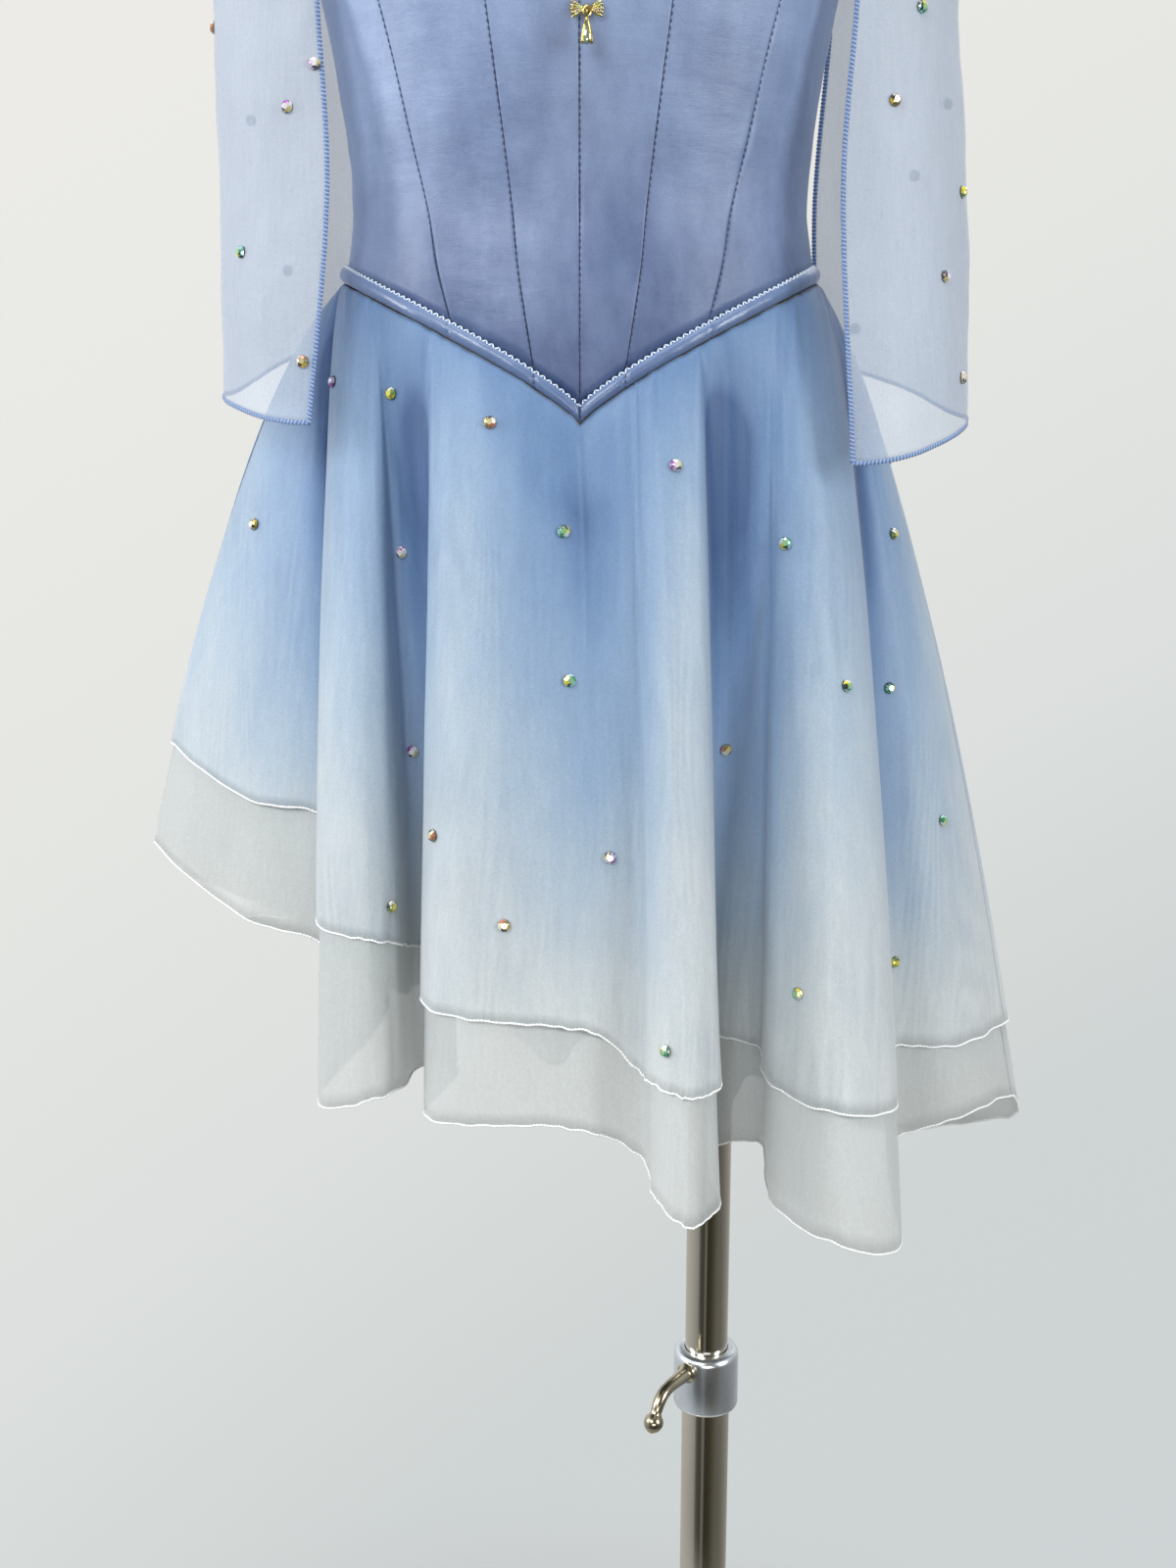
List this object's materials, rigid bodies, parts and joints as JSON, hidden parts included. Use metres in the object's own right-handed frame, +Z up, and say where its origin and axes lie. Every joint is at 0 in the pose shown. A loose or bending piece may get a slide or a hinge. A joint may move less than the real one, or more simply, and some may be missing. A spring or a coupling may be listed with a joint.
{
  "type": "lyrical dance dress on a limbless dress form and pole stand",
  "caption": "Two-layer blue to white chiffon dance dress with a seamed satin bodice, pointed waist band and open sheer sleeves, on a torso form and pole stand.",
  "frame": {"origin": "centre of the base plate's underside, under the middle of the torso", "axes": "+Z up, -Y the front of the dress, +X the wearer's left, which is the viewer's right"},
  "size_m": [0.4985, 0.3783, 1.504],
  "materials": {
    "bodice_satin": "slate blue stretch satin with a soft sheen",
    "band_satin": "slate blue satin, padded",
    "ombre_chiffon": "fine chiffon dyed from blue at the waist to white at the hem",
    "white_chiffon": "fine white chiffon",
    "blue_organza": "sheer pale blue organza",
    "brooch_gold": "polished pale gold",
    "form_cover": "smooth matt off-white",
    "stand_chrome": "polished chrome",
    "collar_chrome": "polished chrome, cooler than the tubes",
    "lever_metal": "nickel with a warm tint"
  },
  "bodies": {
    "stand": {"base_plate": "stand_chrome", "base_socket": "stand_chrome", "lower_tube": "stand_chrome", "clamp_collar": "collar_chrome"},
    "lever": {"clamp_lever": "lever_metal"},
    "mast": {"upper_tube": "stand_chrome"},
    "dressed_form": {"form_flange": "stand_chrome", "form": "form_cover", "front_centre_left": "bodice_satin", "front_centre_right": "bodice_satin", "front_mid_left": "bodice_satin", "front_mid_right": "bodice_satin", "front_side_left": "bodice_satin", "front_side_right": "bodice_satin", "back_left": "bodice_satin", "back_right": "bodice_satin", "band_front_left": "band_satin", "band_front_right": "band_satin", "band_back": "band_satin", "skirt_outer_front": "ombre_chiffon", "skirt_outer_back": "ombre_chiffon", "skirt_inner_front": "white_chiffon", "skirt_inner_back": "white_chiffon", "sleeve_left": "blue_organza", "sleeve_right": "blue_organza", "brooch_bow": "brooch_gold"},
    "drop": {"brooch_drop": "brooch_gold"}
  },
  "joints": [
    {"name": "lever_turn", "type": "hinge", "parent": "stand", "child": "lever", "pos_m": [0.074, 0, 0.386], "axis": [-0.6, -0.8, 0], "range_deg": [-180, 0]},
    {"name": "mast_slide", "type": "slide", "parent": "stand", "child": "mast", "axis": [0, 0, 1], "range_m": [-0.15, 0.1]},
    {"name": "form_turn", "type": "hinge", "parent": "mast", "child": "dressed_form", "pos_m": [0.074, 0, 0.8], "axis": [0, 0, 1], "range_deg": [-180, 180]},
    {"name": "drop_swing", "type": "hinge", "parent": "dressed_form", "child": "drop", "pos_m": [0.0035, -0.105, 1.1126], "axis": [0, 1, 0], "range_deg": [-40, 40]}
  ]
}
